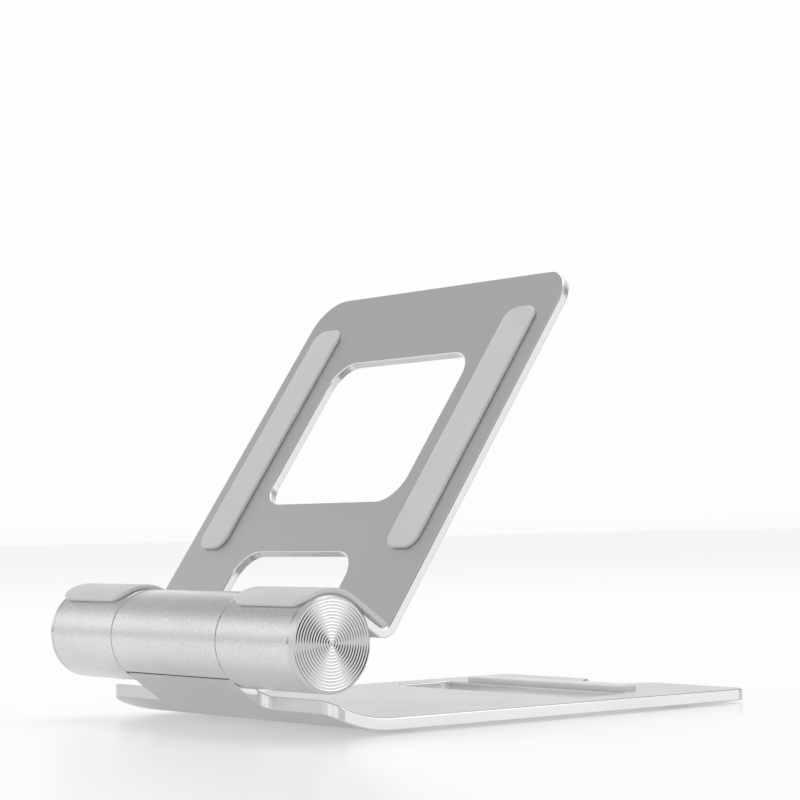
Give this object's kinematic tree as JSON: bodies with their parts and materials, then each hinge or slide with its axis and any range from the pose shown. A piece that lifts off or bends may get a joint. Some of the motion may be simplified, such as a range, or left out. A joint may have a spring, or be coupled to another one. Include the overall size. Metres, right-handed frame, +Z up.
{
  "type": "tablet stand",
  "caption": "Folding aluminium tablet stand with a barrel friction hinge, curled base plate, hooked support plate and silicone pads.",
  "frame": {"origin": "on the table plane, at the middle of the stand's footprint", "axes": "+X runs along the barrel hinge to the right seen from the front, +Y to the back edge of the base plate, +Z up"},
  "size_m": [0.114, 0.158, 0.117],
  "materials": {
    "satin_plate": "satin",
    "blasted_barrel": "bead blasted",
    "spun_cap": "spun polished",
    "light_silicone": "satin",
    "foot_silicone": "matte",
    "hinge_steel": "brushed",
    "bush_bronze": "satin",
    "washer_plastic": "matte"
  },
  "bodies": {
    "base": {"base_plate": "satin_plate", "center_barrel": "blasted_barrel", "tongue_screws": "hinge_steel", "hinge_shaft": "hinge_steel", "shaft_hubs": "hinge_steel", "hub_pins": "hinge_steel", "thrust_washers": "washer_plastic", "friction_washers": "hinge_steel", "disc_springs": "hinge_steel", "lock_nuts": "hinge_steel", "rest_strip": "light_silicone", "front_foot": "foot_silicone", "rear_foot": "foot_silicone"},
    "support": {"support_plate": "satin_plate", "left_barrel": "blasted_barrel", "right_barrel": "blasted_barrel", "shaft_bushes": "bush_bronze", "support_screws": "hinge_steel", "left_end_cap": "spun_cap", "right_end_cap": "spun_cap", "left_lip_pad": "light_silicone", "right_lip_pad": "light_silicone", "left_back_pad": "light_silicone", "right_back_pad": "light_silicone"}
  },
  "joints": [
    {"name": "support_tilt", "type": "hinge", "parent": "base", "child": "support", "pos_m": [0, -0.067, 0.02308], "axis": [1, 0, 0], "range_deg": [-55, 55]}
  ]
}
